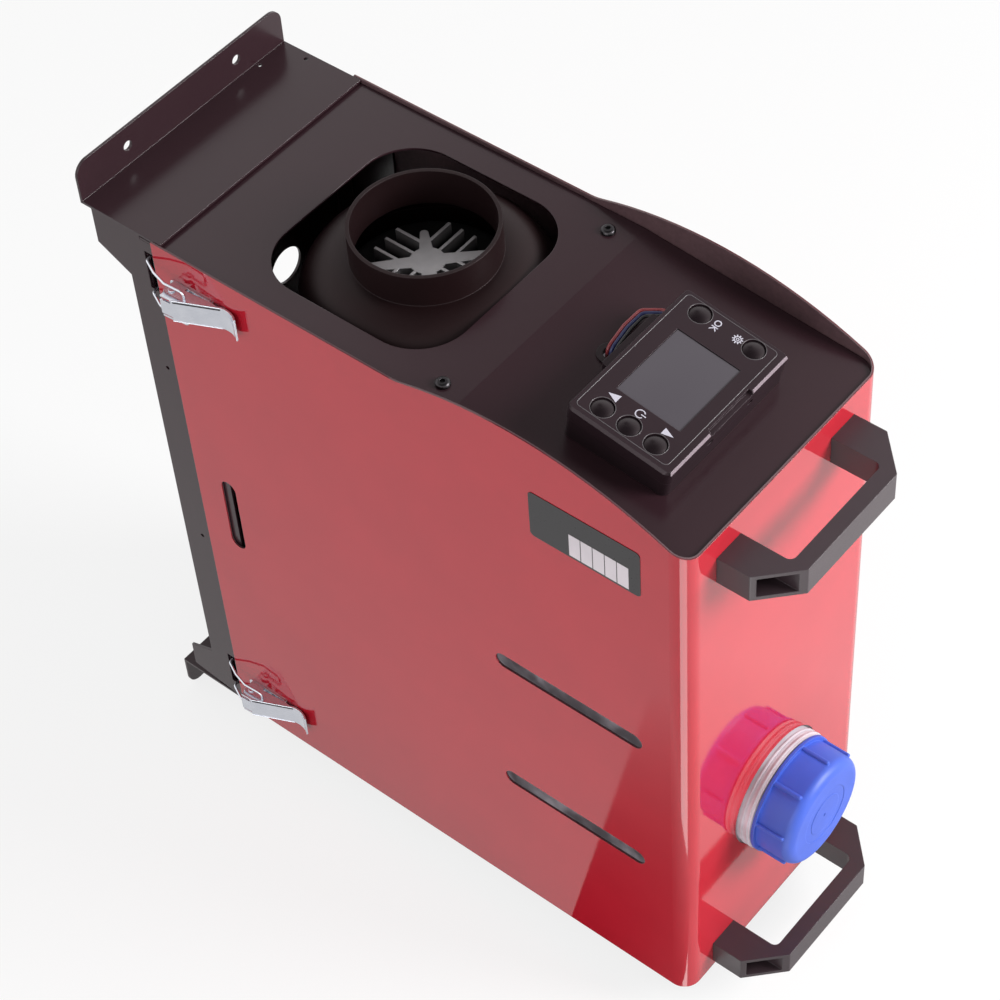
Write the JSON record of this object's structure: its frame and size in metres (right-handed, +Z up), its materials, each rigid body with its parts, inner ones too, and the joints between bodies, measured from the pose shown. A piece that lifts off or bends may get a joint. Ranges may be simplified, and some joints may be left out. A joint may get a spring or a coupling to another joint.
{
  "type": "diesel air heater",
  "caption": "Wall-hung diesel air heater in a red sheet-metal case with black cover, control panel, fuel tank with screw cap, warm-air outlet, carrying handles and draw latches.",
  "frame": {"origin": "middle of the lower pair of wall holes, on the plane of the wall", "axes": "+Y goes into the wall, the front with the handles and the filler cap faces -Y, +Z is up"},
  "size_m": [0.176, 0.403, 0.4118],
  "materials": {
    "red_paint": "gloss powder coat",
    "black_paint": "fine satin powder coat",
    "zinc": "bright zinc plate",
    "stainless": "satin",
    "steel": "machined",
    "black_screw": "black oxide",
    "black_plastic": "fine texture",
    "heater_plastic": "smooth moulded",
    "plate_film": "satin film",
    "tank_plastic": "translucent moulded",
    "cap_plastic": "semi-gloss moulded",
    "rubber": "matt",
    "cast_aluminium": "as cast",
    "screen": "satin screen",
    "button_plastic": "smooth",
    "circuit_board": "lacquered",
    "motor_can": "satin",
    "wire_red": "satin",
    "wire_blue": "satin",
    "wire_black": "satin"
  },
  "bodies": {
    "case": {"top_plate": "black_paint", "bottom_plate": "black_paint", "side_rail_left": "black_paint", "side_rail_right": "black_paint", "back_panel": "black_paint", "casing": "red_paint", "floor_pan": "black_paint", "bulkhead": "black_paint", "top_cover": "black_paint", "screws": "black_screw", "handles": "black_plastic", "data_plate": "plate_film", "latch_bases": "zinc", "latch_rivets": "zinc", "fuel_tank": "tank_plastic", "inlet_cover": "heater_plastic", "heater_shell_front": "heater_plastic", "heater_shell_rear": "heater_plastic", "outlet_hood": "heater_plastic", "heat_exchanger": "cast_aluminium", "burner_tube": "stainless", "glow_plug": "steel", "blower_housing": "cast_aluminium", "motor": "motor_can", "control_unit": "heater_plastic", "mounting_plate": "stainless", "exhaust_pipe": "stainless", "intake_pipe": "heater_plastic", "fuel_pump": "zinc", "pump_spring": "stainless", "fuel_filter": "tank_plastic", "fuel_hoses": "rubber", "power_gland": "black_plastic", "controller_back": "black_plastic", "controller_front": "black_plastic", "controller_screen": "screen", "controller_board": "circuit_board", "wire_grommet": "rubber", "wire_red": "wire_red", "wire_blue": "wire_blue", "wire_black": "wire_black"},
    "rotor": {"rotor_shaft": "steel", "hot_air_fan": "heater_plastic", "combustion_fan": "cast_aluminium"},
    "plunger": {"pump_plunger": "steel"},
    "cap_travel": {"cap_seal": "rubber"},
    "cap": {"filler_cap": "cap_plastic"},
    "button_ok_body": {"button_ok": "button_plastic"},
    "button_settings_body": {"button_settings": "button_plastic"},
    "button_up_body": {"button_up": "button_plastic"},
    "button_power_body": {"button_power": "button_plastic"},
    "button_down_body": {"button_down": "button_plastic"},
    "lever_left_lower": {"latch_lever_left_lower": "zinc"},
    "bail_left_lower": {"latch_bail_left_lower": "zinc"},
    "lever_left_upper": {"latch_lever_left_upper": "zinc"},
    "bail_left_upper": {"latch_bail_left_upper": "zinc"},
    "lever_right_lower": {"latch_lever_right_lower": "zinc"},
    "bail_right_lower": {"latch_bail_right_lower": "zinc"},
    "lever_right_upper": {"latch_lever_right_upper": "zinc"},
    "bail_right_upper": {"latch_bail_right_upper": "zinc"}
  },
  "joints": [
    {"name": "rotor_spin", "type": "hinge", "parent": "case", "child": "rotor", "pos_m": [0, -0.1583, 0.0812], "axis": [0, 0, 1], "continuous": true},
    {"name": "plunger_stroke", "type": "slide", "parent": "case", "child": "plunger", "axis": [0, 0, 1], "range_m": [0, 0.003], "stiffness_N_per_m": 400, "deforming": ["pump_spring"]},
    {"name": "cap_lift", "type": "slide", "parent": "case", "child": "cap_travel", "axis": [0, -1, 0], "range_m": [0, 0.0195]},
    {"name": "cap_turn", "type": "hinge", "parent": "cap_travel", "child": "cap", "pos_m": [0, -0.387, 0.1167], "axis": [0, -1, 0], "range_deg": [0, 1170]},
    {"name": "lever_left_lower", "type": "hinge", "parent": "case", "child": "lever_left_lower", "pos_m": [-0.0815, -0.066, 0.0372], "axis": [0, 0, -1], "range_deg": [0, 105]},
    {"name": "bail_left_lower", "type": "hinge", "parent": "lever_left_lower", "child": "bail_left_lower", "pos_m": [-0.0825, -0.075, 0.0372], "axis": [0, 0, -1], "range_deg": [-131.25, 0]},
    {"name": "lever_left_upper", "type": "hinge", "parent": "case", "child": "lever_left_upper", "pos_m": [-0.0815, -0.066, 0.3552], "axis": [0, 0, -1], "range_deg": [0, 105]},
    {"name": "bail_left_upper", "type": "hinge", "parent": "lever_left_upper", "child": "bail_left_upper", "pos_m": [-0.0825, -0.075, 0.3552], "axis": [0, 0, -1], "range_deg": [-131.25, 0]},
    {"name": "lever_right_lower", "type": "hinge", "parent": "case", "child": "lever_right_lower", "pos_m": [0.0815, -0.066, 0.0372], "axis": [0, 0, 1], "range_deg": [0, 105]},
    {"name": "bail_right_lower", "type": "hinge", "parent": "lever_right_lower", "child": "bail_right_lower", "pos_m": [0.0825, -0.075, 0.0372], "axis": [0, 0, 1], "range_deg": [-131.25, 0]},
    {"name": "lever_right_upper", "type": "hinge", "parent": "case", "child": "lever_right_upper", "pos_m": [0.0815, -0.066, 0.3552], "axis": [0, 0, 1], "range_deg": [0, 105]},
    {"name": "bail_right_upper", "type": "hinge", "parent": "lever_right_upper", "child": "bail_right_upper", "pos_m": [0.0825, -0.075, 0.3552], "axis": [0, 0, 1], "range_deg": [-131.25, 0]},
    {"name": "button_ok_press", "type": "slide", "parent": "case", "child": "button_ok_body", "axis": [0, 0.1661, -0.9861], "range_m": [0, 0.0008], "stiffness_N_per_m": 500},
    {"name": "button_settings_press", "type": "slide", "parent": "case", "child": "button_settings_body", "axis": [0, 0.1661, -0.9861], "range_m": [0, 0.0008], "stiffness_N_per_m": 500},
    {"name": "button_up_press", "type": "slide", "parent": "case", "child": "button_up_body", "axis": [0, 0.1661, -0.9861], "range_m": [0, 0.0008], "stiffness_N_per_m": 500},
    {"name": "button_power_press", "type": "slide", "parent": "case", "child": "button_power_body", "axis": [0, 0.1661, -0.9861], "range_m": [0, 0.0008], "stiffness_N_per_m": 500},
    {"name": "button_down_press", "type": "slide", "parent": "case", "child": "button_down_body", "axis": [0, 0.1661, -0.9861], "range_m": [0, 0.0008], "stiffness_N_per_m": 500}
  ],
  "couplings": [
    {"joint": "cap_lift", "follows": "cap_turn", "m_per_rad": 0.00095493},
    {"joint": "bail_left_lower", "follows": "lever_left_lower", "ratio": -1.25},
    {"joint": "bail_left_upper", "follows": "lever_left_upper", "ratio": -1.25},
    {"joint": "bail_right_lower", "follows": "lever_right_lower", "ratio": -1.25},
    {"joint": "bail_right_upper", "follows": "lever_right_upper", "ratio": -1.25}
  ]
}
